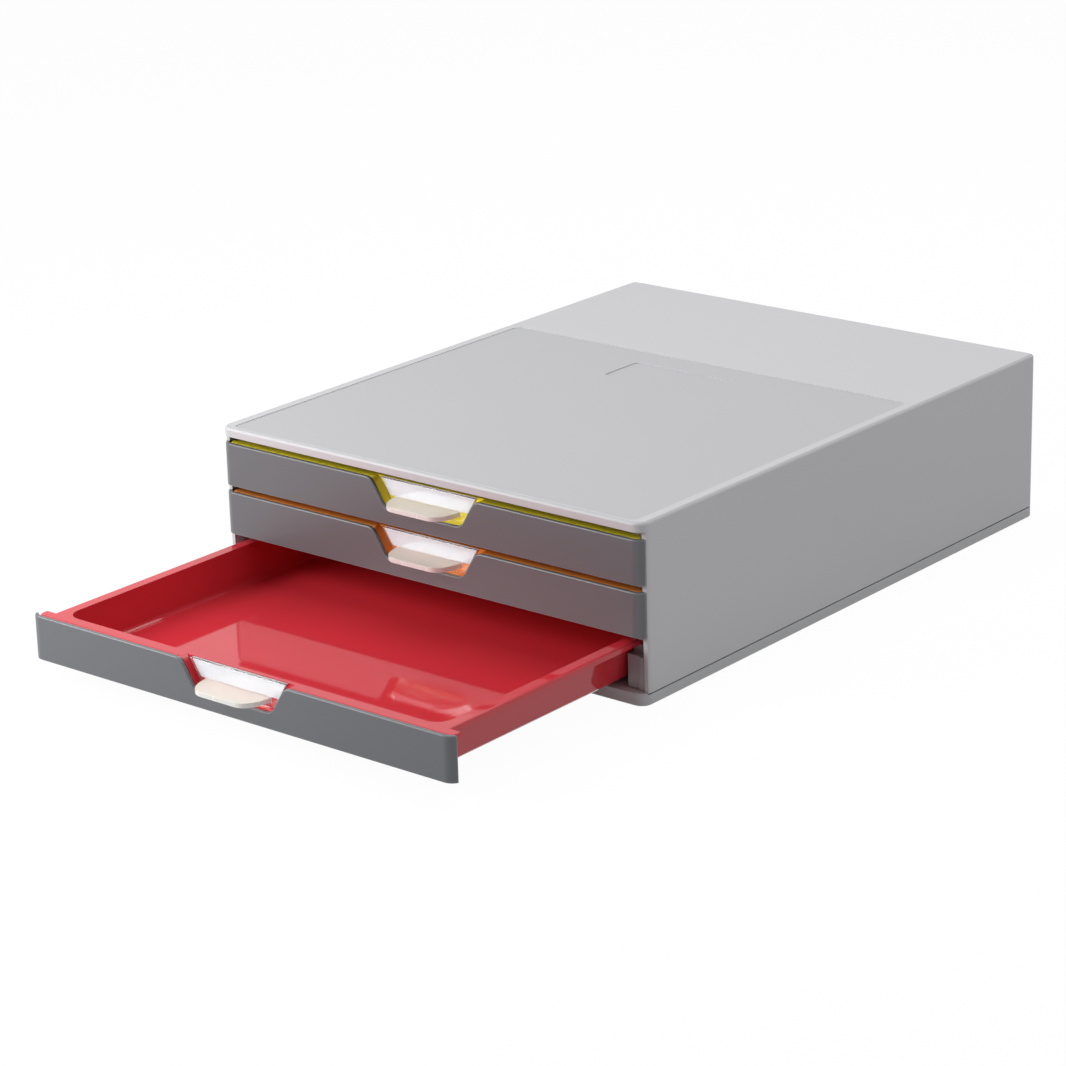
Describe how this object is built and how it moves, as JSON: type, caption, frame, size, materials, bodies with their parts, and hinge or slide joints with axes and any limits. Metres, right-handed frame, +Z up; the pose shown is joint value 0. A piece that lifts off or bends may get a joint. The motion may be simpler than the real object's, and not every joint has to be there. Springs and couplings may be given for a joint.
{
  "type": "desktop file drawer",
  "caption": "Flat desktop case for A4 sheets with sliding trays, notched front covers and clear grip windows over blank labels; the bottom tray is pulled out.",
  "frame": {"origin": "bottom centre of the box round the whole part with the bottom tray pulled out as pictured, on the surface that the feet rest on", "axes": "+Z up, +Y towards the back of the case, the trays open along -Y, +X to the right as seen from the front"},
  "size_m": [0.28, 0.5074, 0.095],
  "materials": {
    "case_grey": "satin moulded",
    "base_grey": "satin moulded",
    "guide_grey": "satin moulded",
    "cover_grey": "satin moulded",
    "tray_red": "polished moulded",
    "tray_orange": "polished moulded",
    "tray_yellow": "polished moulded",
    "window_clear": "clear polished",
    "label_paper": "uncoated",
    "foot_rubber": "matte"
  },
  "bodies": {
    "case": {"case_shell": "case_grey", "base_plate": "base_grey", "guide_left": "guide_grey", "guide_right": "guide_grey", "foot_front_left": "foot_rubber", "foot_front_right": "foot_rubber", "foot_rear_left": "foot_rubber", "foot_rear_right": "foot_rubber"},
    "drawer_bottom": {"tray_bottom": "tray_red", "front_cover_bottom": "cover_grey", "grip_window_bottom": "window_clear", "label_card_bottom": "label_paper"},
    "drawer_middle": {"tray_middle": "tray_orange", "front_cover_middle": "cover_grey", "grip_window_middle": "window_clear", "label_card_middle": "label_paper"},
    "drawer_top": {"tray_top": "tray_yellow", "front_cover_top": "cover_grey", "grip_window_top": "window_clear", "label_card_top": "label_paper"}
  },
  "joints": [
    {"name": "slide_bottom", "type": "slide", "parent": "case", "child": "drawer_bottom", "axis": [0, -1, 0], "range_m": [-0.1412, 0.1088]},
    {"name": "slide_middle", "type": "slide", "parent": "case", "child": "drawer_middle", "axis": [0, -1, 0], "range_m": [0, 0.25]},
    {"name": "slide_top", "type": "slide", "parent": "case", "child": "drawer_top", "axis": [0, -1, 0], "range_m": [0, 0.25]}
  ]
}
